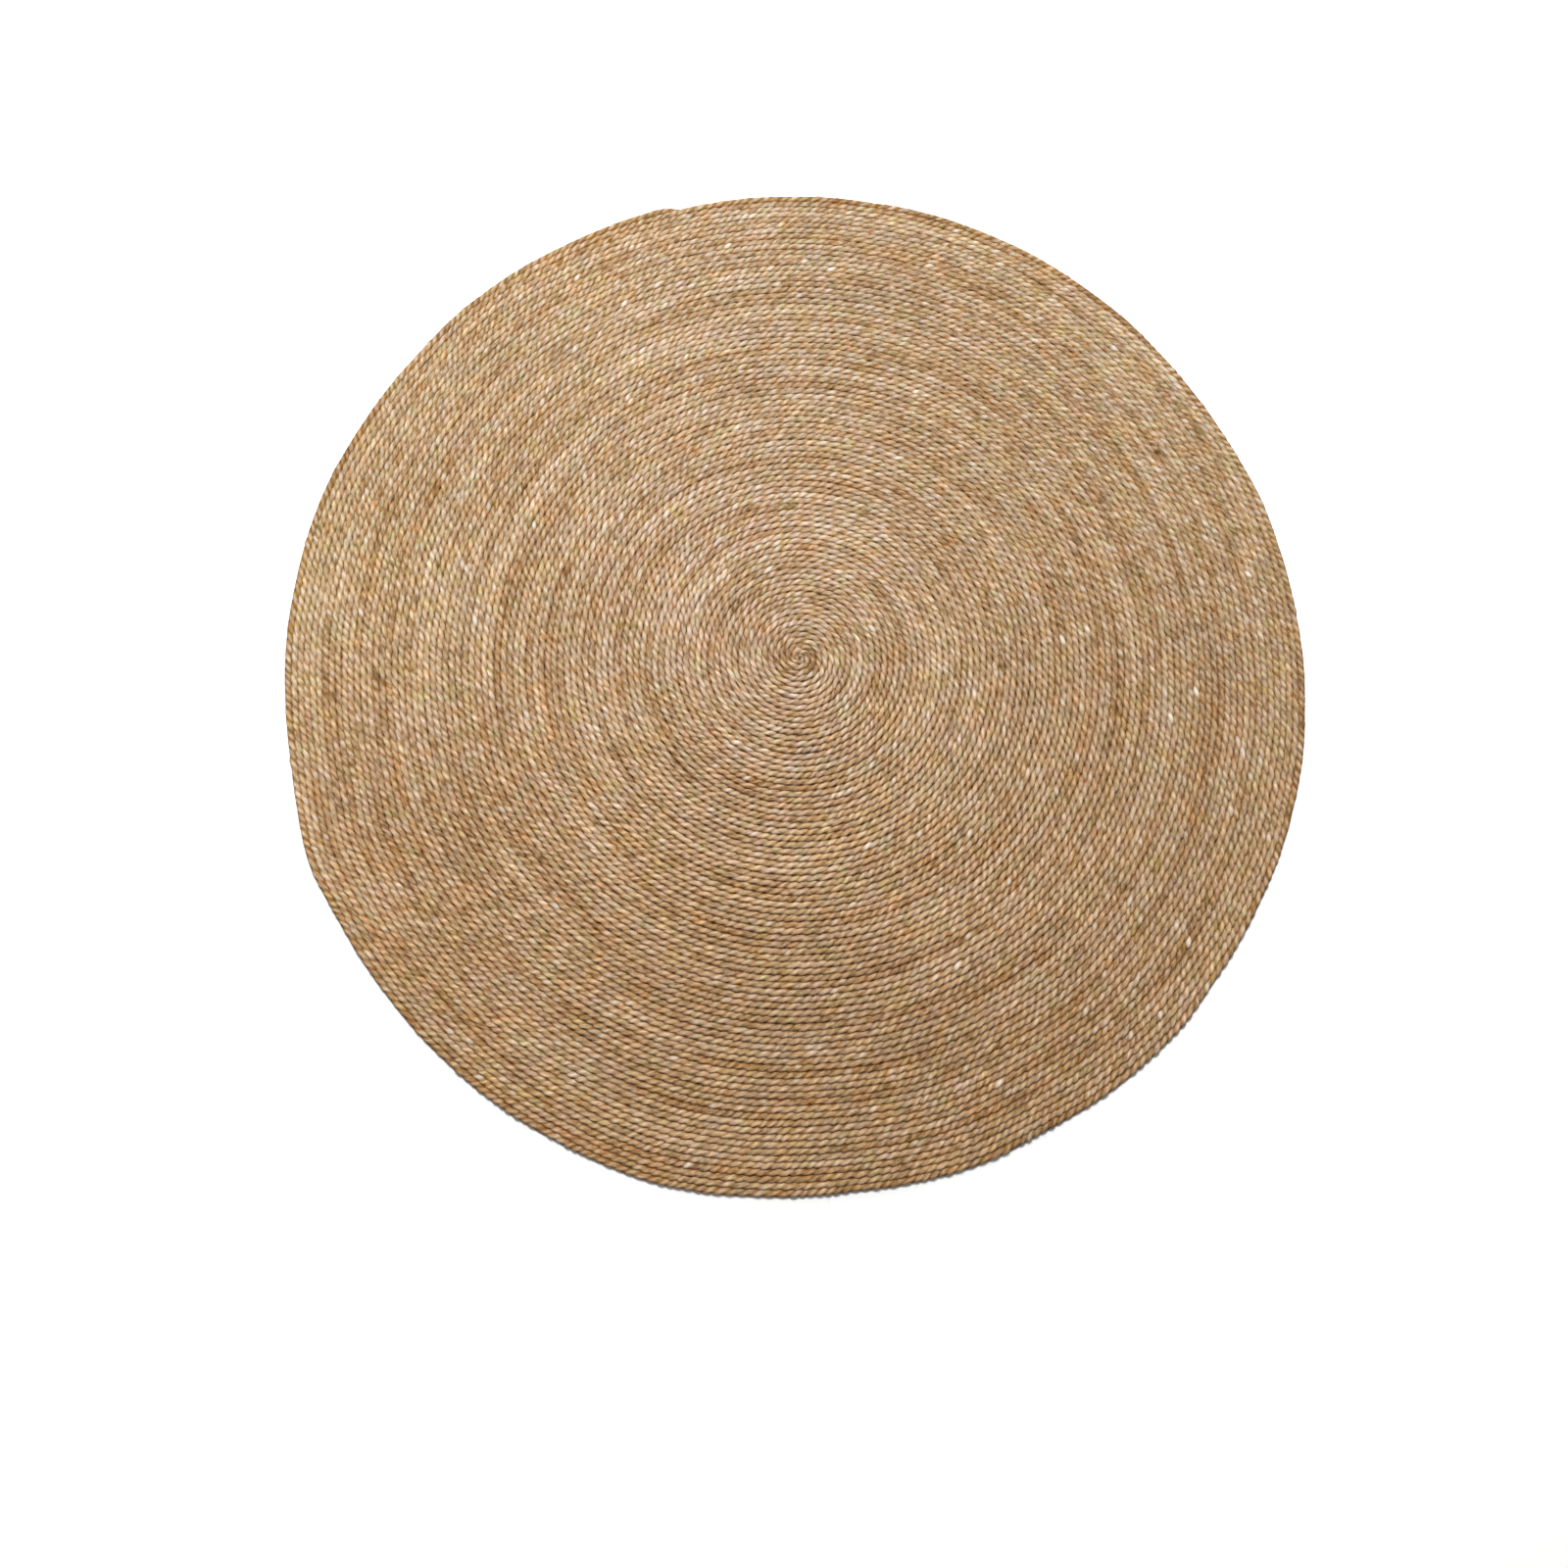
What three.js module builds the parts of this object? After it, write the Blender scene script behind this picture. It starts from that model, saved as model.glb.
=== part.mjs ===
// Round coil rug: one two-strand sisal rope, wound flat in a spiral and sewn turn to turn.
// Units are millimetres, +Z is up. The rug lies on Z = 0 with the middle of its outline on the Z axis.
// The sewn coil behaves as one piece, so it is one flat solid: the strands are surface detail.
import * as THREE from 'three';

// ---- driving dimensions -------------------------------------------------------------------------
const MEAN_RADIUS = 750;             // coil centre to rim, averaged over the last full turn
const ROPE_PITCH = 9;                // rope turn to rope turn near the rim
const MAT_THICKNESS = 9;             // one rope thick
const RIM_ROUNDING = 3.6;            // the outermost rope's own round side

// The coil starts a little away from the middle of the rug, so the rim is nearer on one side.
const START_OFFSET = 7.5;            // how far the rim leans out from the coil centre
const START_OFFSET_ANGLE = 195;      // degrees, the side on which it is farthest

// The rope winds outwards clockwise and stops here, thinned to a point over a few degrees.
const ROPE_END_ANGLE = 104.5;        // degrees, anticlockwise from +X
const ROPE_END_TAPER = 4.5;          // degrees

// Swells (+) and hollows (-) of the hand-sewn rim. Angle and spread in degrees, rise in mm.
const RIM_SWELLS = [
  { angle: 34, spread: 13, rise: -5.5 },
  { angle: 50, spread: 5, rise: -2 },
  { angle: 131, spread: 7, rise: 3 },
  { angle: 160, spread: 11, rise: 3 },
  { angle: 189, spread: 8, rise: -5 },
  { angle: 203, spread: 4, rise: 5 },
  { angle: 222, spread: 11, rise: -3 },
  { angle: 254, spread: 7, rise: 4 },
  { angle: 275, spread: 8, rise: -5 },
  { angle: 297, spread: 5, rise: -3 },
  { angle: 313, spread: 6, rise: 3.5 },
  { angle: 346, spread: 15, rise: 4.5 },
];

const RIM_SIDES = 180;               // straight sides that stand for the rim
const ROUNDING_STEPS = 3;            // facets in each rounded edge of the rim

// ---- outline ------------------------------------------------------------------------------------

/** Smallest signed difference between two angles, in degrees. */
function angleBetween(angle, other) {
  return THREE.MathUtils.euclideanModulo(angle - other + 180, 360) - 180;
}

/** How far the swells and hollows push the rim out at an angle, in mm. */
function swellAt(angle) {
  return RIM_SWELLS.reduce((sum, swell) => {
    const distance = angleBetween(angle, swell.angle) / swell.spread;
    return sum + swell.rise * Math.exp(-distance * distance);
  }, 0);
}

/** Distance from the coil's centre to the rim at an angle, in mm. */
function rimRadius(angle) {
  const turnPastEnd = THREE.MathUtils.euclideanModulo(angle - ROPE_END_ANGLE, 360);
  const spiralStep = ROPE_PITCH * turnPastEnd / 360;
  const taper = ROPE_PITCH * (1 - THREE.MathUtils.smoothstep(turnPastEnd, 0, ROPE_END_TAPER));
  const lean = START_OFFSET * Math.cos(THREE.MathUtils.degToRad(angle - START_OFFSET_ANGLE));
  return MEAN_RADIUS + ROPE_PITCH / 2 - spiralStep - taper + lean + swellAt(angle);
}

/** The rim as points, moved so that the middle of their bounding box is the origin. */
function rimPoints() {
  const points = [];
  for (let side = 0; side < RIM_SIDES; side += 1) {
    const angle = 360 * side / RIM_SIDES;
    const radians = THREE.MathUtils.degToRad(angle);
    const radius = rimRadius(angle);
    points.push(new THREE.Vector2(radius * Math.cos(radians), radius * Math.sin(radians)));
  }
  const middle = new THREE.Box2().setFromPoints(points).getCenter(new THREE.Vector2());
  return points.map((point) => point.sub(middle));
}

// ---- the rug ------------------------------------------------------------------------------------

/** The sewn coil: a flat slab one rope thick, with the rim rounded above and below. */
function makeCoilMat() {
  const geometry = new THREE.ExtrudeGeometry(new THREE.Shape(rimPoints()), {
    depth: MAT_THICKNESS - 2 * RIM_ROUNDING,
    bevelEnabled: true,
    bevelThickness: RIM_ROUNDING,
    bevelSize: RIM_ROUNDING,
    bevelOffset: -RIM_ROUNDING,
    bevelSegments: ROUNDING_STEPS,
  });
  const sisal = new THREE.MeshStandardMaterial({ color: 0xb99669, roughness: 0.85, metalness: 0 });
  const mat = new THREE.Mesh(geometry, sisal);
  mat.name = 'coil_mat';
  mat.position.z = RIM_ROUNDING;
  return mat;
}

const rug = new THREE.Group();
rug.add(makeCoilMat());

export default rug;
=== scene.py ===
"""Round sisal rug: one long rope of two twisted strands, wound flat into a mat.

The rope is swept along a spiral that starts in the middle of the mat and winds outwards clockwise.
It is cut into a few stretches, so that no piece grows too heavy, and every stretch carries two
UV maps: one that runs along and around the rope, which its finish reads, and one laid out in rows
for baking. Loose fibres lie over it, and a plain studio stands round it.
"""

import logging
import math
from dataclasses import dataclass, field
from enum import Enum

import bmesh
import bpy
import numpy as np
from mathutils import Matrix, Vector


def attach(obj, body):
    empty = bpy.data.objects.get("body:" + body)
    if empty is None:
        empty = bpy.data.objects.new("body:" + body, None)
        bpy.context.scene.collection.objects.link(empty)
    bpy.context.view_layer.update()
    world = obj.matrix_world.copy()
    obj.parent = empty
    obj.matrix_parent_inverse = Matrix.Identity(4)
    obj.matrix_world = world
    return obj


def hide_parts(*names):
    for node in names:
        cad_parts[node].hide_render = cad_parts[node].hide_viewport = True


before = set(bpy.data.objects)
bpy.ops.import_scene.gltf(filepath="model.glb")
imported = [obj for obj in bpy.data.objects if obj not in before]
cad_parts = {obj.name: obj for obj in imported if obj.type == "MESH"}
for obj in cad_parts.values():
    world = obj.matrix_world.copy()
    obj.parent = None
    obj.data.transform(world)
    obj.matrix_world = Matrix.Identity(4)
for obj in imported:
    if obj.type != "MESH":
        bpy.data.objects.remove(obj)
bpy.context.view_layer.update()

LOG = logging.getLogger("sisal_rug")

MAT_NODE = "coil_mat"
FULL_TURN = 2 * math.pi
MM = 0.001

Colour = tuple[float, float, float]
Place = tuple[float, float, float]
Span = tuple[float, float]
Socket = bpy.types.NodeSocket


def smooth_ramp(value: np.ndarray, low: float, high: float) -> np.ndarray:
    """Ease from 0 at low to 1 at high."""
    share = np.clip((value - low) / (high - low), 0.0, 1.0)
    return share * share * (3.0 - 2.0 * share)


def add_object(name: str, data: bpy.types.ID) -> bpy.types.Object:
    """Add an object to the scene.

    Args:
        name: The object's name.
        data: Its mesh, light or camera.

    Returns:
        The new object.
    """
    added = bpy.data.objects.new(name, data)
    bpy.context.scene.collection.objects.link(added)
    return added


@dataclass(frozen=True)
class Ripple:
    """Smooth random unevenness along the rope, given at knots. The spacing and the reach are in metres."""

    seed: int
    spacing: float
    spread: float
    reach: float = 260.0
    spare_knots: int = 4

    def along(self, distance: np.ndarray) -> np.ndarray:
        """Give the unevenness at each distance along the rope.

        Args:
            distance: Distances from the start of the rope, in metres.

        Returns:
            One value for each distance, with the ripple's spread about zero.
        """
        count = int(self.reach / self.spacing) + self.spare_knots
        knots = np.random.default_rng(self.seed).standard_normal(count)
        # A smooth curve through the knots, worked out from the two knots on either side of each place.
        place = distance / self.spacing + 1.0
        index = np.floor(place).astype(int)
        part = place - index
        before, start, end, after = (knots[index + step] for step in (-1, 0, 1, 2))
        bend = (
            2 * start
            + (end - before) * part
            + (2 * before - 5 * start + 4 * end - after) * part**2
            + (3 * start - before - 3 * end + after) * part**3
        )
        return 0.5 * self.spread * bend


@dataclass(frozen=True)
class Swell:
    """A place where the rim bulges or dips: its angle and spread in degrees, its rise in millimetres."""

    angle: float
    spread: float
    rise: float


@dataclass(frozen=True)
class MatOutline:
    """The uneven rim of the mat, the same as in the CAD part. Lengths in metres, angles in degrees."""

    mean_radius: float = 0.750
    rope_pitch: float = 0.009
    lean: float = 0.0075
    lean_angle: float = 195.0
    rope_end_angle: float = 104.5
    rope_end_taper: float = 4.5
    rim_sides: int = 180
    lean_power: float = 2.0
    swell_power: float = 3.0
    swells: tuple[Swell, ...] = (
        Swell(34, 13, -5.5),
        Swell(50, 5, -2.0),
        Swell(131, 7, 3.0),
        Swell(160, 11, 3.0),
        Swell(189, 8, -5.0),
        Swell(203, 4, 5.0),
        Swell(222, 11, -3.0),
        Swell(254, 7, 4.0),
        Swell(275, 8, -5.0),
        Swell(297, 5, -3.0),
        Swell(313, 6, 3.5),
        Swell(346, 15, 4.5),
    )

    def lean_at(self, angle: np.ndarray) -> np.ndarray:
        """Give how far the rim leans off the coil's middle at each angle."""
        return self.lean * np.cos(np.radians(angle - self.lean_angle))

    def swell_at(self, angle: np.ndarray) -> np.ndarray:
        """Give how far the rim bulges at each angle.

        Args:
            angle: Angles about the coil's middle, in degrees.

        Returns:
            The sum of all the swells, in metres.
        """
        total = np.zeros_like(angle)
        for swell in self.swells:
            away = (angle - swell.angle + 180.0) % 360.0 - 180.0
            total += swell.rise * MM * np.exp(-((away / swell.spread) ** 2))
        return total

    def unevenness(self, angle: np.ndarray, radius: np.ndarray) -> np.ndarray:
        """Give how far a turn of some even radius is pushed out, which fades towards the middle."""
        share = radius / self.mean_radius
        return self.lean_at(angle) * share**self.lean_power + self.swell_at(angle) * share**self.swell_power

    def coil_centre(self) -> tuple[float, float]:
        """Find the coil's middle in the frame, whose origin is the middle of the rim's box.

        Returns:
            The x and y of the coil's middle, in metres.
        """
        angle = np.arange(self.rim_sides) * 360.0 / self.rim_sides
        past_end = (angle - self.rope_end_angle) % 360.0
        radius = (
            self.mean_radius
            + self.rope_pitch / 2
            - self.rope_pitch * past_end / 360.0
            - self.rope_pitch * (1.0 - smooth_ramp(past_end, 0.0, self.rope_end_taper))
            + self.lean_at(angle)
            + self.swell_at(angle)
        )
        x, y = radius * np.cos(np.radians(angle)), radius * np.sin(np.radians(angle))
        return -float(x.max() + x.min()) / 2, -float(y.max() + y.min()) / 2


@dataclass(frozen=True)
class CoilCourse:
    """The spiral that the rope follows, from the middle of the mat out to the rope's end.

    Lengths are in metres, the end's taper is in degrees, and the calm reach is in core radii.
    """

    outline: MatOutline = field(default_factory=MatOutline)
    pitch_middle: float = 0.00860
    pitch_halfway: float = 0.00932
    pitch_rim: float = 0.00896
    core_radius: float = 0.016
    core_pinch: float = 0.52
    start_radius: float = 0.0021
    calm_reach: float = 4.0
    end_taper: float = 1.8
    even_samples: int = 60000
    steps_per_turn: int = 360
    drift_waves: int = 7
    drift_reach: Span = (0.060, 0.170)
    drift: float = 0.00030
    drift_seed: int = 41
    wobble: Ripple = Ripple(seed=42, spacing=0.065, spread=0.00015)
    quiver: Ripple = Ripple(seed=43, spacing=0.016, spread=0.00020)

    def pitch_at(self, radius: np.ndarray) -> np.ndarray:
        """Give the distance between turns at each radius.

        Args:
            radius: Distances from the coil's middle, in metres.

        Returns:
            The pitch, which narrows where the rope is pinched to start the coil.
        """
        # One curve through the pitch in the middle, halfway out and at the rim.
        share = radius / self.outline.mean_radius
        bulge = 4 * self.pitch_halfway - 3 * self.pitch_middle - self.pitch_rim
        curve = 2 * (self.pitch_middle + self.pitch_rim - 2 * self.pitch_halfway)
        pitch = self.pitch_middle + bulge * share + curve * share**2
        open_share = smooth_ramp(radius, 0.0, self.core_radius)
        return pitch * (self.core_pinch + (1.0 - self.core_pinch) * open_share)

    def drift_at(self, x: np.ndarray, y: np.ndarray) -> np.ndarray:
        """Give the slow sideways drift that neighbouring turns share.

        Args:
            x: Places across the mat, in metres.
            y: Places up the mat, in metres.

        Returns:
            The push outwards at each place, in metres.
        """
        rng = np.random.default_rng(self.drift_seed)
        total = np.zeros_like(x)
        for _ in range(self.drift_waves):
            wave, heading, phase = rng.uniform(*self.drift_reach), *rng.uniform(0.0, FULL_TURN, 2)
            along = x * math.cos(heading) + y * math.sin(heading)
            total += np.sin(FULL_TURN * along / wave + phase)
        return self.drift * total * math.sqrt(2.0 / self.drift_waves)

    def trace(self) -> dict[str, np.ndarray]:
        """Walk the spiral from the middle to the rope's end.

        Returns:
            Closely spaced values along the rope: distance, x, y, even radius and pitch in metres, and
            its body, which falls from 1 to 0 where the rope thins out at its end.
        """
        radii = np.linspace(self.start_radius, self.outline.mean_radius, self.even_samples)
        turns_from_start = np.concatenate(
            ([0.0], np.cumsum(np.diff(radii) / self.pitch_at(0.5 * (radii[1:] + radii[:-1]))))
        )
        turns = turns_from_start[-1]
        turn = np.linspace(0.0, turns, int(turns * self.steps_per_turn))
        even_radius = np.interp(turn, turns_from_start, radii)
        angle = self.outline.rope_end_angle + 360.0 * (turns - turn)
        radius = even_radius + self.outline.unevenness(angle, even_radius)
        x, y = radius * np.cos(np.radians(angle)), radius * np.sin(np.radians(angle))
        calm = smooth_ramp(even_radius, 0.0, self.calm_reach * self.core_radius)
        push = self.drift_at(x, y) * calm
        rough_distance = self._walked(x, y)
        push += (self.wobble.along(rough_distance) + self.quiver.along(rough_distance)) * calm
        radius = radius + push
        end_lean = 1.0 - smooth_ramp(360.0 * (turns - turn), 0.0, self.end_taper)
        radius = radius - 0.5 * self.pitch_rim * end_lean
        centre_x, centre_y = self.outline.coil_centre()
        x = centre_x + radius * np.cos(np.radians(angle))
        y = centre_y + radius * np.sin(np.radians(angle))
        return {
            "distance": self._walked(x, y),
            "x": x,
            "y": y,
            "radius": even_radius,
            "pitch": self.pitch_at(even_radius),
            "body": 1.0 - end_lean,
        }

    def _walked(self, x: np.ndarray, y: np.ndarray) -> np.ndarray:
        """Add up the distance walked from the first place to each of the others."""
        return np.concatenate(([0.0], np.cumsum(np.hypot(np.diff(x), np.diff(y)))))


@dataclass(frozen=True)
class Section:
    """One cut through the rope: each strand gives it a valley, a crest and a shoulder on either side."""

    strands: int = 2
    strand_columns: int = 4
    valley: float = 0.34
    shoulder: float = 0.455
    crest: float = 0.50

    @property
    def columns(self) -> int:
        """Count the corners round the rope."""
        return self.strand_columns * self.strands

    def corners(self) -> tuple[np.ndarray, np.ndarray]:
        """List how far out each corner is, in rope thicknesses, and its angle, from a valley clockwise."""
        out = np.tile([self.valley, self.shoulder, self.crest, self.shoulder], self.strands)
        return out, -FULL_TURN * np.arange(self.columns) / self.columns


@dataclass
class SisalRope:
    """The two-strand rope: how thick it is, how it is twisted, and how uneven it is.

    Its sizes are shares of the pitch between turns or of its own thickness. The lift, the spacing of the
    strand's swells and the least gap between rings are in metres, and slack_angle is in degrees.
    """

    course: CoilCourse = field(default_factory=CoilCourse)
    section: Section = field(default_factory=Section)
    fullness: float = 1.12
    flattening: float = 0.85
    slack: float = 0.28
    slack_angle: float = 285.0
    under_flattening: float = 0.76
    core_mess: float = 2.0
    mess_reach: float = 3.0
    lay_turns: float = 3.30
    steps_per_lay: float = 8.0
    bend_share: float = 0.20
    least_ring_gap: float = 0.0003
    side_level: float = 0.24
    side_overlap: float = 0.08
    width_share: float = 0.5
    core_height: float = 0.72
    tip_share: float = 0.30
    slow_thickness: Ripple = Ripple(seed=11, spacing=0.120, spread=0.045)
    quick_thickness: Ripple = Ripple(seed=12, spacing=0.018, spread=0.040)
    strand_seed: int = 130
    strand_spacing: float = 0.016
    strand_spread: float = 0.090
    slow_lay: Ripple = Ripple(seed=15, spacing=0.070, spread=0.110)
    quick_lay: Ripple = Ripple(seed=16, spacing=0.020, spread=0.190)
    lay_limit: float = 0.26
    lift: Ripple = Ripple(seed=17, spacing=0.070, spread=0.00020)
    rings: dict[str, np.ndarray] = field(default_factory=dict)

    def wind(self) -> None:
        """Work out every ring of the rope: how far along it lies, its heading and its corners."""
        line = self.course.trace()
        along = line["distance"]
        uneven_lay = self.slow_lay.along(along) + self.quick_lay.along(along)
        uneven_lay = np.clip(uneven_lay, -self.lay_limit, self.lay_limit)
        lay = self.lay_turns * line["pitch"] * (1.0 + uneven_lay)
        bend_gap = self.bend_share * line["radius"] + self.least_ring_gap
        ring_gap = np.minimum(lay / self.steps_per_lay, bend_gap)
        step = np.diff(along)
        turned = -FULL_TURN * np.concatenate(([0.0], np.cumsum(step / lay[1:])))
        counted = np.concatenate(([0.0], np.cumsum(step / ring_gap[1:])))
        ring = np.linspace(0.0, counted[-1], int(round(counted[-1])) + 1)
        distance = np.interp(ring, counted, along)
        at_ring = {name: np.interp(distance, along, values) for name, values in line.items()}
        heading = np.gradient(line["x"], along), np.gradient(line["y"], along)
        ahead = np.stack([np.interp(distance, along, part) for part in heading], axis=1)
        ahead /= np.linalg.norm(ahead, axis=1)[:, None]
        self.rings = {
            "distance": distance,
            "radius": at_ring["radius"],
            "ahead": ahead,
            "corner": self._corners(at_ring, ahead, np.interp(distance, along, turned)),
        }

    def _corners(self, at_ring: dict[str, np.ndarray], ahead: np.ndarray, turned: np.ndarray) -> np.ndarray:
        """Place the corners of every ring.

        Args:
            at_ring: The course's values at each ring.
            ahead: The rope's heading at each ring, as unit vectors in plan.
            turned: How far the strands have turned at each ring, in radians.

        Returns:
            The corners as an array of rings, corners and x, y, z.
        """
        distance = at_ring["distance"]
        out, corner_angle = self.section.corners()
        body = self.tip_share + (1.0 - self.tip_share) * at_ring["body"]
        mess_radius = self.mess_reach * self.course.core_radius
        mess = 1.0 + self.core_mess * (1.0 - smooth_ramp(at_ring["radius"], 0.0, mess_radius))
        uneven = (self.slow_thickness.along(distance) + self.quick_thickness.along(distance)) * mess
        thick = self.fullness * at_ring["pitch"] * body
        reach = np.tile(out, (len(distance), 1))
        for strand in range(self.section.strands):
            swell = Ripple(self.strand_seed + strand, self.strand_spacing, self.strand_spread)
            first = self.section.strand_columns * strand + 1
            reach[:, first : first + 3] *= 1.0 + (swell.along(distance) * mess)[:, None]
        angle = turned[:, None] + corner_angle[None, :]
        side, rise = reach * np.cos(angle), reach * np.sin(angle)
        # Below side_level the sides are pressed out to their full width, against the next turns.
        widest, narrowest = side.max(axis=1, keepdims=True), side.min(axis=1, keepdims=True)
        half_width = np.where(side > 0.0, widest, -narrowest)
        pressed = smooth_ramp(-rise, -self.side_level, 0.0)
        width = (thick * (1.0 + self.width_share * uneven))[:, None]
        touching = ((0.5 + self.side_overlap) * thick / self.fullness)[:, None]
        full_side = np.maximum(self.section.crest * width, touching)
        side = side * (width + pressed * (full_side / half_width - width))
        # The top is domed most on the side of the mat that lies towards slack_angle.
        compass = np.arctan2(at_ring["y"], at_ring["x"]) - math.radians(self.slack_angle)
        domed = (self.flattening * (1.0 + self.slack * np.cos(compass)))[:, None]
        rise = rise * np.where(rise > 0.0, domed, self.under_flattening)
        # The rope's middle stands at half its height, lower where the first turns are pinched thin.
        full_height = self.under_flattening * self.fullness * self.course.pitch_halfway
        pinched = at_ring["pitch"] / self.course.pitch_middle
        middle = 0.5 * full_height * (self.core_height + (1 - self.core_height) * np.minimum(pinched, 1.0))
        middle = middle * body + self.lift.along(distance) * mess
        height = middle[:, None] + rise * (thick * (1.0 + uneven))[:, None]
        x = at_ring["x"][:, None] - ahead[:, 1:2] * side
        y = at_ring["y"][:, None] + ahead[:, 0:1] * side
        return np.stack([x, y, np.maximum(height, 0.0)], axis=2)


class UvRole(Enum):
    """What each UV map of the rope is for."""

    WRAP = "RopeWrap"
    BAKE = "OFBake"


@dataclass(frozen=True)
class BakeRows:
    """How a stretch of rope is laid out in rows on the unit square for baking."""

    girth: float = 0.030
    row_margin: float = 0.035
    side_margin: float = 0.002
    top: float = 0.985
    cap_size: float = 0.0045
    cap_places: Span = (0.25, 0.75)

    def place(self, step: np.ndarray, corner: np.ndarray, steps: int, length: float) -> np.ndarray:
        """Lay rope corners out on the square.

        Args:
            step: For each face corner, its face's step along the stretch, and 0 or 1 within the face.
            corner: For each face corner, its place round the rope, from 0 to 1.
            steps: How many steps the stretch has.
            length: The stretch's length in metres.

        Returns:
            The UV pairs. Each face stays whole, as its step says which row it lies in.
        """
        rows = math.ceil(math.sqrt(length / self.girth))
        per_row = math.ceil(steps / rows)
        face_step = step[:, 0]
        row = face_step // per_row
        across = (face_step % per_row + step[:, 1]) / per_row
        u = self.side_margin + (1.0 - 2 * self.side_margin) * across
        v = (row + self.row_margin + (1.0 - 2 * self.row_margin) * corner) / rows * self.top
        return np.stack([u, v], axis=1)

    def cap_corner(self, end: int, turn: float) -> tuple[float, float]:
        """Place one corner of an end cap in the strip above the rows."""
        across, up = self.cap_places[end], 0.5 * (self.top + 1.0)
        return across + self.cap_size * math.cos(turn), up + self.cap_size * math.sin(turn)


@dataclass
class RopeStretch:
    """One stretch of the rope, from one ring to another, as a closed piece."""

    name: str
    rope: SisalRope
    first: int
    last: int
    rows: BakeRows = field(default_factory=BakeRows)
    weld_distance: float = 1e-7

    def build(self, finish: "SisalFinish") -> bpy.types.Object:
        """Make the stretch as a mesh object and dress it.

        Args:
            finish: The rope's finish.

        Returns:
            The finished object.
        """
        mesh = self._sleeve()
        self._close(mesh)
        mesh.materials.append(finish.material())
        return add_object(self.name, mesh)

    def _sleeve(self) -> bpy.types.Mesh:
        """Roll a flat grid round the rope, one column to each strand corner.

        Returns:
            The open sleeve, with its UV maps.
        """
        steps = self.last - self.first
        columns = self.rope.section.columns
        flat = bmesh.new()
        bmesh.ops.create_grid(flat, x_segments=steps, y_segments=columns, size=1.0)
        mesh = bpy.data.meshes.new(self.name)
        flat.to_mesh(mesh)
        flat.free()
        spots = np.empty(len(mesh.vertices) * 3, np.float32)
        mesh.vertices.foreach_get("co", spots)
        spots = spots.reshape(-1, 3)
        step = np.rint((spots[:, 0] + 1.0) / 2.0 * steps).astype(int)
        column = np.rint((spots[:, 1] + 1.0) / 2.0 * columns).astype(int)
        corners = self.rope.rings["corner"][self.first : self.last + 1]
        mesh.vertices.foreach_set("co", corners[step, column % columns].astype(np.float32).ravel())
        self._map(mesh, step, column, steps)
        mesh.polygons.foreach_set("use_smooth", np.ones(len(mesh.polygons), bool))
        return mesh

    def _map(self, mesh: bpy.types.Mesh, step: np.ndarray, column: np.ndarray, steps: int) -> None:
        """Give the sleeve its two UV maps.

        Args:
            mesh: The sleeve.
            step: Each vertex's step along the stretch.
            column: Each vertex's column round the rope.
            steps: How many steps the stretch has.
        """
        corner = np.empty(len(mesh.loops), np.int32)
        mesh.loops.foreach_get("vertex_index", corner)
        distance = self.rope.rings["distance"][self.first : self.last + 1]
        round_rope = column[corner] / self.rope.section.columns
        wrap = np.stack([distance[step[corner]], round_rope], axis=1)
        face_step = step[corner].reshape(-1, 4).min(axis=1).repeat(4)
        split = np.stack([face_step, step[corner] - face_step], axis=1)
        bake = self.rows.place(split, round_rope, steps, float(distance[-1] - distance[0]))
        for role, pairs in ((UvRole.WRAP, wrap), (UvRole.BAKE, bake)):
            layer = mesh.uv_layers.new(name=role.value)
            layer.uv.foreach_set("vector", pairs.astype(np.float32).ravel())

    def _close(self, mesh: bpy.types.Mesh) -> None:
        """Weld the sleeve along its seam and cap its two ends.

        Args:
            mesh: The open sleeve, which is changed in place.
        """
        shell = bmesh.new()
        shell.from_mesh(mesh)
        rim = [corner for corner in shell.verts if corner.is_boundary]
        bmesh.ops.remove_doubles(shell, verts=rim, dist=self.weld_distance)
        open_edges = [edge for edge in shell.edges if edge.is_boundary]
        caps = bmesh.ops.holes_fill(shell, edges=open_edges, sides=0)["faces"]
        start = Vector(self.rope.rings["corner"][self.first].mean(axis=0))
        caps = sorted(caps, key=lambda cap: (cap.calc_center_median() - start).length)
        wrap, bake = (shell.loops.layers.uv[role.value] for role in UvRole)
        distances = self.rope.rings["distance"][[self.first, self.last]]
        for end, cap in enumerate(caps):
            cap.smooth = False
            for edge in cap.edges:
                edge.smooth = False
            for place, loop in enumerate(cap.loops):
                round_rope = place / self.rope.section.columns
                loop[wrap].uv = (distances[end], round_rope)
                loop[bake].uv = self.rows.cap_corner(end, FULL_TURN * round_rope)
        if shell.calc_volume(signed=True) < 0:
            bmesh.ops.reverse_faces(shell, faces=shell.faces[:])
        bmesh.ops.triangulate(shell, faces=shell.faces[:], quad_method="SHORT_EDGE", ngon_method="BEAUTY")
        shell.to_mesh(mesh)
        shell.free()


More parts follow.
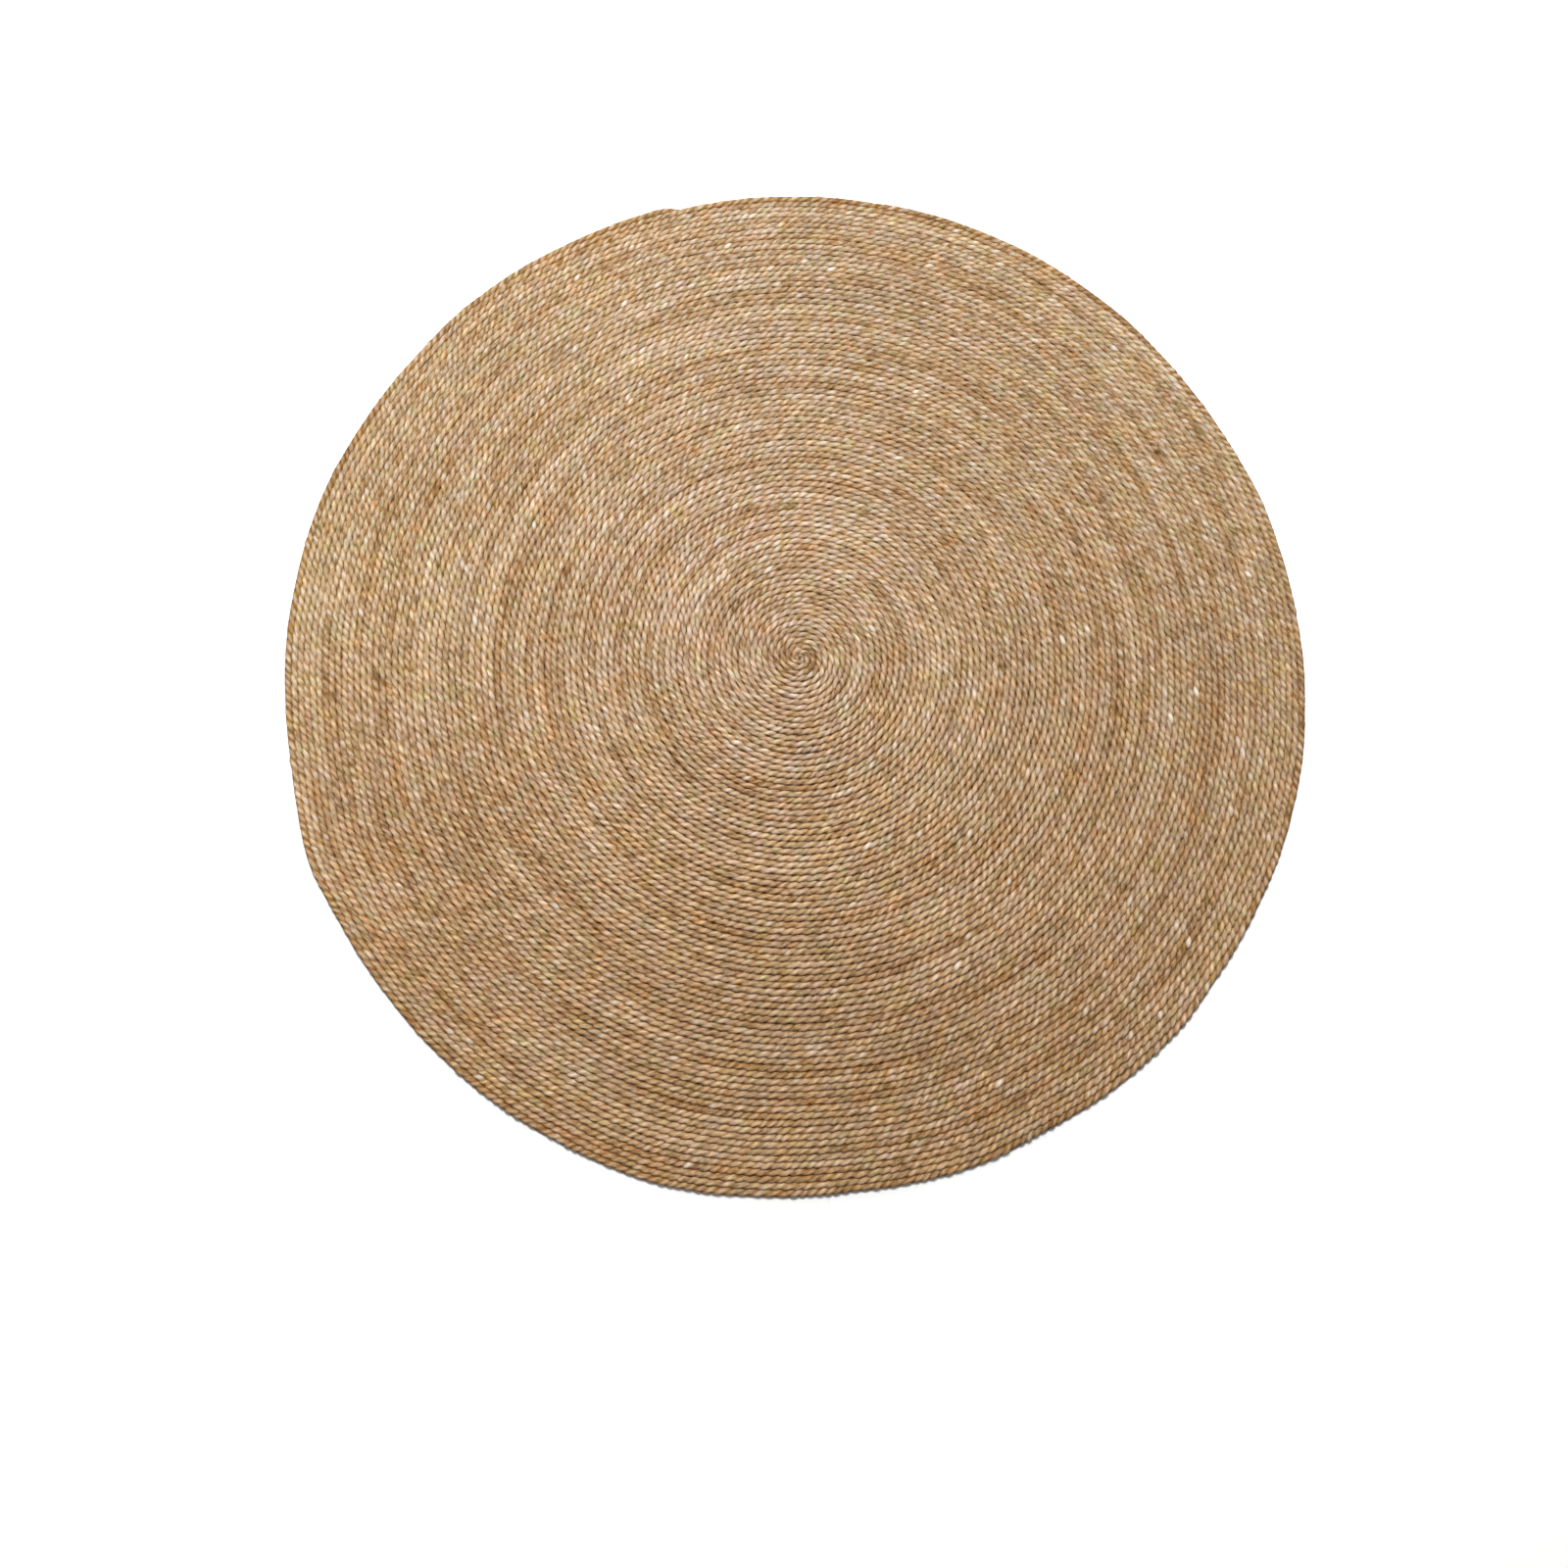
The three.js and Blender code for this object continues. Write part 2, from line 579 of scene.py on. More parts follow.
@dataclass
class StrayFibres:
    """Loose fibre ends that stand off the rope, as thin pointed needles.

    Lengths are in metres and angles in radians. The tip is half the length of the needle that is copied.
    """

    rope: SisalRope
    name: str = "stray_fibres"
    doublings: int = 12
    sides: int = 3
    tip: float = 1.5
    bulge: float = 0.00011
    bulge_spread: Span = (0.7, 1.3)
    lengths: Span = (0.005, 0.014)
    rooted_share: float = 0.25
    rim_share: float = 0.16
    rim_start: float = 0.976
    tuft: int = 60
    tuft_rings: int = 14
    under_share: float = 0.2
    stray_angle: float = 0.55
    tilt: float = 0.16
    lift: Span = (0.0004, 0.0022)
    lift_start: float = 0.35
    floor_gap: float = 0.0001
    seed: int = 77

    def build(self, finish: "FibreFinish") -> bpy.types.Object:
        """Scatter the needles over the mat, with more of them on its rim and at the rope's end.

        Args:
            finish: The fibres' finish.

        Returns:
            The finished object.
        """
        needles = bmesh.new()
        bmesh.ops.create_cone(
            needles, cap_ends=False, segments=self.sides, radius1=1.0, radius2=1.0, depth=1.0
        )
        for low in (True, False):
            rim = [edge for edge in needles.edges if edge.is_boundary and (edge.verts[0].co.z < 0) == low]
            drawn = bmesh.ops.extrude_edge_only(needles, edges=rim)["geom"]
            tip_corners = [part for part in drawn if isinstance(part, bmesh.types.BMVert)]
            tip_height = -self.tip if low else self.tip
            bmesh.ops.pointmerge(needles, verts=tip_corners, merge_co=(0.0, 0.0, tip_height))
        bmesh.ops.recalc_face_normals(needles, faces=needles.faces[:])
        single = len(needles.verts)
        for _ in range(self.doublings):
            bmesh.ops.duplicate(needles, geom=needles.verts[:] + needles.edges[:] + needles.faces[:])
        mesh = bpy.data.meshes.new(self.name)
        needles.to_mesh(mesh)
        needles.free()
        self._scatter(mesh, single)
        mesh.materials.append(finish.material())
        return add_object(self.name, mesh)

    def _scatter(self, mesh: bpy.types.Mesh, single: int) -> None:
        """Move every needle to its own place on the mat, bent and turned at random.

        Args:
            mesh: The mesh of equal needles, which is changed in place.
            single: How many vertices one needle has.
        """
        count = 2**self.doublings
        rng = np.random.default_rng(self.seed)
        shape = np.empty(len(mesh.vertices) * 3, np.float32)
        mesh.vertices.foreach_get("co", shape)
        shape = shape.reshape(count, single, 3).astype(float)
        rings = self.rope.rings
        last = len(rings["distance"]) - 1
        home = rng.integers(0, last, count)
        on_rim = rng.random(count) < self.rim_share
        home[on_rim] = rng.integers(int(self.rim_start * last), last, int(on_rim.sum()))
        home[: self.tuft] = rng.integers(last - self.tuft_rings, last, self.tuft)
        column = rng.integers(0, self.rope.section.columns, count)
        spot = rings["corner"][home, column]
        middle = rings["corner"][home].mean(axis=1)
        outward = spot - middle
        # Roots below or beside the rope's middle are mirrored about its height.
        under = outward[:, 2] < self.under_share * np.abs(outward).max(axis=1)
        spot[under, 2] = 2 * middle[under, 2] - spot[under, 2]
        outward = spot - middle
        outward /= np.linalg.norm(outward, axis=1)[:, None]
        heading = np.arctan2(rings["ahead"][home, 1], rings["ahead"][home, 0])
        heading = heading + rng.normal(0.0, self.stray_angle, count) + math.pi * rng.integers(0, 2, count)
        tilt = np.abs(rng.normal(0.0, self.tilt, count))
        ahead = np.stack([np.cos(heading) * np.cos(tilt), np.sin(heading) * np.cos(tilt), np.sin(tilt)], 1)
        across = np.stack([-np.sin(heading), np.cos(heading), np.zeros(count)], 1)
        above = np.cross(ahead, across)
        length = rng.uniform(*self.lengths, count)
        bow = rng.uniform(*self.lift, count)
        along = shape[:, :, 2] / (2 * self.tip)
        width = self.bulge * rng.uniform(*self.bulge_spread, count)[:, None]
        place = (
            spot[:, None, :]
            + ahead[:, None, :] * ((along + self.rooted_share) * length[:, None])[..., None]
            + across[:, None, :] * (shape[:, :, 0] * width)[..., None]
            + above[:, None, :] * (shape[:, :, 1] * width)[..., None]
            + outward[:, None, :] * (bow[:, None] * (along + self.lift_start))[..., None]
        )
        place[..., 2] = np.maximum(place[..., 2], self.floor_gap)
        mesh.vertices.foreach_set("co", place.astype(np.float32).ravel())
        mesh.polygons.foreach_set("use_smooth", np.ones(len(mesh.polygons), bool))


@dataclass(frozen=True)
class Grain:
    """Noise over the rope: how fine it is along and round it, which layer it is read in, its detail."""

    along: float
    around: float
    layer: float = 0.0
    detail: float = 1.0


class NodeBench:
    """A short way to lay out the nodes of one material."""

    def __init__(self, name: str) -> None:
        """Start an empty material.

        Args:
            name: The material's name.
        """
        self.material = bpy.data.materials.new(name)
        self.material.use_nodes = True
        self.tree = self.material.node_tree
        self.tree.nodes.clear()

    def node(self, kind: str, **settings: object) -> bpy.types.Node:
        """Add a node.

        Args:
            kind: The node's type.
            settings: Properties to set on it.

        Returns:
            The new node.
        """
        node = self.tree.nodes.new(kind)
        for name, value in settings.items():
            setattr(node, name, value)
        return node

    def feed(self, socket: Socket, value: object) -> None:
        """Link a socket to another, or set it to a plain value.

        Args:
            socket: The socket that takes the value.
            value: Another socket, or a number, a place or a colour.
        """
        if isinstance(value, Socket):
            self.tree.links.new(value, socket)
        elif socket.type == "RGBA":
            socket.default_value = (*value, 1.0)
        else:
            socket.default_value = value

    def wire(self, kind: str, values: tuple[object, ...], **settings: object) -> Socket:
        """Add a node and fill its inputs in their order.

        Args:
            kind: The node's type.
            values: What its inputs take, as sockets or plain values.
            settings: Properties to set on it.

        Returns:
            The node's first output.
        """
        node = self.node(kind, **settings)
        for socket, value in zip(node.inputs, values):
            self.feed(socket, value)
        return node.outputs[0]

    def math(self, operation: str, *values: object) -> Socket:
        """Combine numbers."""
        return self.wire("ShaderNodeMath", values, operation=operation)

    def times(self, value: object, factor: object) -> Socket:
        """Multiply two numbers."""
        return self.math("MULTIPLY", value, factor)

    def off_middle(self, value: object, weight: object, base: object) -> Socket:
        """Add to a base how far a value lies from 0.5, times its weight."""
        return self.math("MULTIPLY_ADD", self.math("SUBTRACT", value, 0.5), weight, base)

    def vector(self, x: object, y: object, z: object) -> Socket:
        """Join three numbers into a vector."""
        return self.wire("ShaderNodeCombineXYZ", (x, y, z))

    def split(self, vector: Socket) -> list[Socket]:
        """Take a vector apart into its x, y and z."""
        return list(self.wire("ShaderNodeSeparateXYZ", (vector,)).node.outputs)

    def reach(self, place: Socket, point: Place) -> Socket:
        """Measure the distance from a point to each place."""
        return self.wire("ShaderNodeVectorMath", (place, point), operation="DISTANCE").node.outputs["Value"]

    def noise(self, place: Socket, scale: float, detail: float) -> Socket:
        """Add smooth noise, from about 0 to 1, with so many finer layers."""
        fourth_dimension = 0.0
        return self.wire("ShaderNodeTexNoise", (place, fourth_dimension, scale, detail))

    def remap(self, value: object, span: Span, first: float = 0.0, last: float = 1.0) -> Socket:
        """Carry a span of values over to first and last, eased at both ends and clamped outside."""
        values = value, *span, first, last
        return self.wire("ShaderNodeMapRange", values, interpolation_type="SMOOTHSTEP")

    def ramp(self, value: object, stops: tuple[tuple[float, Colour], ...]) -> Socket:
        """Turn a value into a colour.

        Args:
            value: The value, from 0 to 1.
            stops: Places on the ramp and their colours.

        Returns:
            The colour's socket.
        """
        node = self.node("ShaderNodeValToRGB")
        ramp = node.color_ramp
        while len(ramp.elements) < len(stops):
            ramp.elements.new(0.5)
        for element, (place, colour) in zip(ramp.elements, stops):
            element.position = place
            element.color = (*colour, 1.0)
        self.feed(node.inputs[0], value)
        return node.outputs[0]

    def blend(self, mode: str, share: object, base: object, other: object) -> Socket:
        """Mix two colours.

        Args:
            mode: How they are mixed.
            share: How much of the other one is taken.
            base: The first colour.
            other: The second colour.

        Returns:
            The mixed colour's socket.
        """
        node = self.node("ShaderNodeMix", data_type="RGBA", blend_type=mode)
        for socket, value in ((0, share), (6, base), (7, other)):
            self.feed(node.inputs[socket], value)
        return node.outputs[2]

    def tint(self, colour: object, share: object, tint: object) -> Socket:
        """Multiply a colour by a tint, as far as the share says."""
        return self.blend("MULTIPLY", share, colour, tint)

    def surface(self, looks: dict[str, object]) -> bpy.types.Material:
        """Give the material its shader.

        Args:
            looks: The shader's inputs by name, and what each takes.

        Returns:
            The finished material.
        """
        shader, output = self.node("ShaderNodeBsdfPrincipled"), self.node("ShaderNodeOutputMaterial")
        for name, value in looks.items():
            self.feed(shader.inputs[name], value)
        self.tree.links.new(shader.outputs[0], output.inputs["Surface"])
        return self.material


@dataclass(frozen=True)
class PaintedLightPatch:
    """A large soft patch of painted light and shade on the mat, whose middle is given from the coil's
    middle, in metres.

    Its tint is full at full_at metres from there, and it has gone at gone_at metres.
    """

    x: float
    y: float
    full_at: float
    gone_at: float
    tint: Colour


class RopeBench(NodeBench):
    """A bench that knows where a point lies: along and round the rope, on which strand, on the mat."""

    def __init__(self, name: str, strands: int, askew_turns: float) -> None:
        """Start a material that reads the rope's own UV map.

        Args:
            name: The material's name.
            strands: How many strands the rope has.
            askew_turns: How often the fibres pass round the rope in a metre of it.
        """
        super().__init__(name)
        wrap = self.node("ShaderNodeUVMap", uv_map=UvRole.WRAP.value).outputs[0]
        self.along, self.around = self.split(wrap)[:2]
        self.askew = self.math("ADD", self.around, self.times(self.along, askew_turns))
        self.strand = self.math("FLOOR", self.times(self.around, strands))
        self.on_mat = self.node("ShaderNodeTexCoord").outputs["Object"]

    def grain(self, grain: Grain, around: object) -> Socket:
        """Add noise that is laid over the rope.

        Args:
            grain: How fine the noise is.
            around: The place round the rope, or the number of its strand or layer.

        Returns:
            The noise, from about 0 to 1.
        """
        along = self.times(self.along, grain.along)
        place = self.vector(along, self.times(around, grain.around), grain.layer)
        return self.noise(place, 1.0, grain.detail)


@dataclass(frozen=True)
class SisalFinish:
    """Dry twisted sisal: straw and tan strands with brown fibres and pale flecks, with painted shade in the
    valleys and painted highlights on the crests.
    """

    rope_length: float
    tones: tuple[tuple[float, Colour], ...] = (
        (0.00, (0.130, 0.072, 0.030)),
        (0.25, (0.282, 0.186, 0.095)),
        (0.50, (0.436, 0.318, 0.199)),
        (0.75, (0.558, 0.433, 0.306)),
        (1.00, (0.720, 0.620, 0.510)),
    )
    centre: Span = MatOutline().coil_centre()
    rosy_tint: Colour = (1.035, 0.976, 0.960)
    olive_tint: Colour = (0.955, 1.020, 0.920)
    ochre_tint: Colour = (1.050, 0.985, 0.840)
    ash_tint: Colour = (0.965, 1.000, 1.120)
    russet_tint: Colour = (1.020, 0.950, 0.900)
    bleached: Colour = (0.680, 0.625, 0.540)
    # Painted shade colour for the strand valleys and the depths between the turns.
    painted_shade_tint: Colour = (0.500, 0.303, 0.092)
    # Painted highlight colour for the high strand crests.
    crest_highlight_tint: Colour = (1.220, 1.210, 1.190)
    # Painted shade towards the mat's near edge, and a bluish painted reflection towards its far edge.
    near_shade_tint: Colour = (0.940, 0.862, 0.785)
    far_reflection_tint: Colour = (0.985, 1.035, 1.110)
    rust_tint: Colour = (1.010, 0.850, 0.700)
    # Painted light and shade: soft patches that lighten or darken parts of the mat, and bluish patches as
    # painted reflection.
    patches: tuple[PaintedLightPatch, ...] = (
        PaintedLightPatch(-0.75, -0.10, 0.20, 1.30, (1.10, 1.11, 1.115)),
        PaintedLightPatch(-0.10, 0.15, 0.05, 0.36, (1.08, 1.12, 1.24)),
        PaintedLightPatch(-0.03, -0.12, 0.00, 0.18, (0.93, 0.93, 0.96)),
        PaintedLightPatch(0.42, 0.15, 0.00, 0.35, (0.97, 0.95, 0.92)),
        PaintedLightPatch(0.05, -0.52, 0.00, 0.30, (0.88, 0.86, 0.84)),
        PaintedLightPatch(-0.28, -0.50, 0.00, 0.30, (0.96, 0.95, 0.94)),
        PaintedLightPatch(0.64, 0.28, 0.00, 0.30, (1.04, 1.05, 1.04)),
        PaintedLightPatch(-0.68, 0.12, 0.00, 0.32, (1.07, 1.12, 1.12)),
        PaintedLightPatch(0.00, 0.00, 0.74, 0.58, (1.05, 1.055, 1.05)),
        PaintedLightPatch(0.00, 0.62, 0.00, 0.40, (0.95, 0.97, 1.03)),
    )
    strands: int = 2
    askew_turns: float = 18.0
    coarse_fibre: Grain = Grain(60.0, 26.0)
    fine_fibre: Grain = Grain(90.0, 70.0, 5.0)
    coarse_share: float = 0.55
    fine_share: float = 0.45
    clump: Grain = Grain(120.0, 7.0, 60.0, 2.0)
    one_strand: Grain = Grain(42.0, 31.7)
    stretch: Grain = Grain(5.0, 9.3, detail=3.0)
    hue: Grain = Grain(40.0, 40.0)
    rust: Grain = Grain(34.0, 5.3, 140.0, 0.0)
    fleck: Grain = Grain(21.0, 7.9, 120.0, 0.0)
    wisp: Grain = Grain(40.0, 9.0, 160.0, 0.0)
    waver: Grain = Grain(90.0, 3.0, 200.0)
    mottle_scale: float = 7.0
    hue_scale: float = 32.0
    hue_shift: float = 3.0
    broad_detail: float = 3.0
    high_hue: Span = (0.50, 0.64)
    low_hue: Span = (0.50, 0.36)
    russet_reach: Span = (0.50, 0.36)
    rust_reach: Span = (0.68, 0.82)
    rust_share: float = 0.80
    fleck_reach: Span = (0.705, 0.78)
    fleck_share: float = 0.95
    wisp_reach: Span = (0.76, 0.86)
    wisp_share: float = 0.60
    rim_turn: float = 4.70
    rim_fade: float = 0.1
    # How much deeper the painted shade reaches on the last turn at the rim, in metres.
    rim_painted_shade: float = 0.0014
    valley_shade: float = 0.70
    valley_reach: Span = (0.0, 0.120)
    crest_reach: Span = (0.12, 0.25)
    crest_height: Span = (0.80, 1.02)
    near_far_reach: Span = (-0.65, 0.65)
    depth_reach: Span = (0.40, 1.02)
    depth_waver: float = 0.0040
    gap_reach: Span = (0.05, 0.20)
    gap_share: float = 0.44
    core_reach: Span = (0.008, 0.042)
    core_tone: float = -0.15
    mat_height: float = 0.0088
    strand_tone: float = 0.85
    stretch_tone: float = 0.40
    fibre_tone: float = 1.10
    clump_tone: float = 1.10
    mottle_tone: float = 0.10
    streak_tone: float = 0.60
    streak_turning: float = 1.3
    streak_spread: float = 62.0
    rough_fibres: Span = (0.3, 0.7)
    roughness: Span = (0.90, 0.70)
    sheen: float = 0.03
    sheen_roughness: float = 0.5
    sheen_tint: Colour = (0.850, 0.680, 0.480)
    specular: float = 0.10
    bump_strength: float = 0.6
    bump_depth: float = 0.0005

    def material(self) -> bpy.types.Material:
        """Make the material, or give the one made before.

        Returns:
            The rope's material.
        """
        known = bpy.data.materials.get("twisted_sisal")
        if known:
            return known
        bench = RopeBench("twisted_sisal", self.strands, self.askew_turns)
        fibres = self._fibres(bench)
        tone = self._tone(bench, fibres)
        from_middle = self._away(bench, 0.0, 0.0)
        streak = self._streaks(bench, from_middle)
        tone = bench.off_middle(streak, self.streak_tone, tone)
        tone = bench.math("ADD", tone, bench.remap(from_middle, self.core_reach, self.core_tone, 0.0))
        colour = self._hues(bench, bench.ramp(tone, self.tones))
        colour = bench.tint(colour, bench.remap(streak, self.russet_reach), self.russet_tint)
        # Painted light and shade: each patch lightens, darkens or blues its part of the mat.
        for patch in self.patches:
            away = self._away(bench, patch.x, patch.y)
            share = bench.remap(away, (patch.full_at, patch.gone_at), 1.0, 0.0)
            colour = bench.tint(colour, share, patch.tint)
        colour = self._flecks(bench, colour)
        colour = self._shade(bench, colour)
        bump = bench.node("ShaderNodeBump")
        bumps = {"Strength": self.bump_strength, "Distance": self.bump_depth, "Height": fibres}
        for name, value in bumps.items():
            bench.feed(bump.inputs[name], value)
        looks = {
            "Base Color": colour,
            "Roughness": bench.remap(fibres, self.rough_fibres, *self.roughness),
            "Specular IOR Level": self.specular,
            "Sheen Weight": self.sheen,
            "Sheen Roughness": self.sheen_roughness,
            "Sheen Tint": self.sheen_tint,
            "Normal": bump.outputs[0],
        }
        return bench.surface(looks)

    def _away(self, bench: RopeBench, x: float, y: float) -> Socket:
        """Measure how far each place lies from one point of the mat, given from the coil's middle."""
        return bench.reach(bench.on_mat, (self.centre[0] + x, self.centre[1] + y, self.mat_height / 2))

    def _streaks(self, bench: RopeBench, from_middle: Socket) -> Socket:
        """Draw long lighter and darker arcs round the coil, each a few turns wide.

        Args:
            bench: The material's bench.
            from_middle: The distance from the coil's middle.

        Returns:
            The arcs, from about 0 where they are dark to 1.
        """
        turning = []
        for part, middle in zip(bench.split(bench.on_mat), self.centre):
            share = bench.math("DIVIDE", bench.math("SUBTRACT", part, middle), from_middle)
            turning.append(bench.times(share, self.streak_turning))
        spread = bench.times(from_middle, self.streak_spread)
        return bench.noise(bench.vector(*turning, spread), 1.0, self.broad_detail)

    def _fibres(self, bench: RopeBench) -> Socket:
        """Draw fibres that run nearly along the rope, a little askew to the strands.

        Args:
            bench: The material's bench.

        Returns:
            The fibres, from about 0 in the grooves to 1 on the ridges.
        """
        coarse = bench.times(bench.grain(self.coarse_fibre, bench.askew), self.coarse_share)
        fine = bench.times(bench.grain(self.fine_fibre, bench.askew), self.fine_share)
        return bench.math("ADD", coarse, fine)

    def _tone(self, bench: RopeBench, fibres: Socket) -> Socket:
        """Add up how light the sisal is, from the strand, the stretch of rope, the mat and the fibres.

        Args:
            bench: The material's bench.
            fibres: The fibres.

        Returns:
            The tone, from dark at 0 to light at 1.
        """
        total = 0.5
        for part, weight in (
            (bench.grain(self.one_strand, bench.strand), self.strand_tone),
            (bench.grain(self.stretch, 1.0), self.stretch_tone),
            (fibres, self.fibre_tone),
            (bench.grain(self.clump, bench.askew), self.clump_tone),
            (bench.noise(bench.on_mat, self.mottle_scale, self.broad_detail), self.mottle_tone),
        ):
            total = bench.off_middle(part, weight, total)
        return total

    def _hues(self, bench: RopeBench, colour: Socket) -> Socket:
        """Tint lengths of rope and patches of the mat rosy or olive, and others ochre or ash.

        Args:
            bench: The material's bench.
            colour: The colour to tint.

        Returns:
            The tinted colour.
        """
        pairs = (self.rosy_tint, self.olive_tint), (self.ochre_tint, self.ash_tint)
        for row, (high_tint, low_tint) in enumerate(pairs):
            on_rope = bench.grain(self.hue, 1.0 + row)
            shift = (self.hue_shift + row, 0.0, 0.0)
            shifted = bench.wire("ShaderNodeVectorMath", (bench.on_mat, shift), operation="ADD")
            on_mat = bench.noise(shifted, self.hue_scale, 1.0)
            hue = bench.times(bench.math("ADD", on_rope, on_mat), 0.5)
            colour = bench.tint(colour, bench.remap(hue, self.high_hue), high_tint)
            colour = bench.tint(colour, bench.remap(hue, self.low_hue), low_tint)
        return colour

    def _flecks(self, bench: RopeBench, colour: Socket) -> Socket:
        """Scatter a few rusty spots and nearly white flecks, each on one strand, and pale wisps.

        Args:
            bench: The material's bench.
            colour: The colour under them.

        Returns:
            The colour with them.
        """
        rust = bench.grain(self.rust, bench.strand)
        rusty = bench.remap(rust, self.rust_reach, 0.0, self.rust_share)
        colour = bench.tint(colour, rusty, self.rust_tint)
        fleck = bench.grain(self.fleck, bench.strand)
        wisp = bench.grain(self.wisp, bench.around)
        share = bench.math(
            "MAXIMUM",
            bench.remap(fleck, self.fleck_reach, 0.0, self.fleck_share),
            bench.remap(wisp, self.wisp_reach, 0.0, self.wisp_share),
        )
        return bench.blend("MIX", share, colour, self.bleached)

    def _shade(self, bench: RopeBench, colour: Socket) -> Socket:
        """Darken and warm the valleys between the strands and the depths between the turns with painted
        shade.

        Args:
            bench: The material's bench.
            colour: The colour to shade.

        Returns:
            The colour with painted shade in the valleys and depths, a painted highlight on the crests,
            warmer painted shade towards the mat's near edge and a bluish painted reflection towards its far
            edge.
        """
        # Painted shade: the strand valleys and the depths between the turns, deepest on the last turn at
        # the rim, are mixed towards a warm brown.
        from_valley = bench.math("PINGPONG", bench.around, 0.5 / self.strands)
        valley = bench.remap(from_valley, self.valley_reach, self.valley_shade)
        up_mat, rise = bench.split(bench.on_mat)[1:]
        rim_start = self.rope_length - self.rim_turn
        on_rim = bench.remap(bench.along, (rim_start, rim_start + self.rim_fade))
        waver = bench.grain(self.waver, bench.around)
        height = bench.off_middle(waver, self.depth_waver, rise)
        depth = bench.math("MULTIPLY_ADD", on_rim, -self.rim_painted_shade, height)
        depth = bench.remap(depth, self._heights(self.depth_reach), 1.0, 0.0)
        gap = bench.times(depth, bench.remap(from_valley, self.gap_reach, 1.0, self.gap_share))
        shade = bench.times(valley, bench.math("SUBTRACT", 1.0, gap))
        colour = bench.tint(colour, 1.0, bench.blend("MIX", shade, self.painted_shade_tint, (1.0, 1.0, 1.0)))
        # Painted highlight on the high strand crests.
        on_crest = bench.remap(from_valley, self.crest_reach)
        crest = bench.times(on_crest, bench.remap(height, self._heights(self.crest_height)))
        colour = bench.tint(colour, crest, self.crest_highlight_tint)
        # Painted shade warms and darkens the near side of the mat; a bluish painted reflection tints the
        # far side.
        towards_far = bench.remap(up_mat, self.near_far_reach)
        return bench.tint(colour, 1.0, bench.blend("MIX", towards_far, self.near_shade_tint, self.far_reflection_tint))

    def _heights(self, shares: Span) -> Span:
        """Turn two shares of the mat's height into metres."""
        return shares[0] * self.mat_height, shares[1] * self.mat_height


@dataclass(frozen=True)
class FibreFinish:
    """Single loose fibres, from pale straw to golden."""

    pale: Colour = (0.52, 0.40, 0.27)
    deep: Colour = (0.38, 0.27, 0.15)
    mottle_scale: float = 60.0
    mottle_detail: float = 3.0
    mottle_reach: Span = (0.35, 0.65)
    roughness: Span = (0.75, 0.60)

    def material(self) -> bpy.types.Material:
        """Make the material.

        Returns:
            The fibres' material.
        """
        bench = NodeBench("loose_sisal")
        place = bench.node("ShaderNodeTexCoord").outputs["Object"]
        mottle = bench.noise(place, self.mottle_scale, self.mottle_detail)
        tone = bench.remap(mottle, self.mottle_reach)
        colour = bench.blend("MIX", tone, self.deep, self.pale)
        roughness = bench.remap(tone, (0.0, 1.0), *self.roughness)
        return bench.surface({"Base Color": colour, "Roughness": roughness})


@dataclass(frozen=True)
class FloorFinish:
    """A plain pale studio floor, which glows a little beyond the rug."""

    colour: Colour = (0.92, 0.92, 0.915)
    roughness: float = 0.8
    specular: float = 0.2
    glow: float = 0.42
    glow_near: float = 0.03
    glow_reach: Span = (0.745, 0.80)

    def material(self) -> bpy.types.Material:
        """Make the material.

        Returns:
            The floor's material.
        """
        bench = NodeBench("studio_floor")
        from_middle = bench.reach(bench.node("ShaderNodeTexCoord").outputs["Object"], (0.0, 0.0, 0.0))
        looks = {
            "Base Color": self.colour,
            "Roughness": self.roughness,
            "Specular IOR Level": self.specular,
            "Emission Color": self.colour,
            "Emission Strength": bench.remap(from_middle, self.glow_reach, self.glow_near, self.glow),
        }
        return bench.surface(looks)


@dataclass(frozen=True)
class SoftLamp:
    """One square studio lamp: where it stands about the middle of the rug, its size and its watts."""

    name: str
    azimuth: float
    elevation: float
    distance: float
    size: float
    power: float

    def place(self) -> None:
        """Add the lamp, facing the middle of the mat."""
        light = bpy.data.lights.new(self.name, "AREA")
        light.size = self.size
        light.energy = self.power
        lamp = add_object(self.name, light)
        flat, up = math.radians(self.azimuth), math.radians(self.elevation)
        away = Vector((math.cos(up) * math.cos(flat), math.cos(up) * math.sin(flat), math.sin(up)))
        lamp.location = away * self.distance
        lamp.rotation_euler = away.to_track_quat("Z", "Y").to_euler()


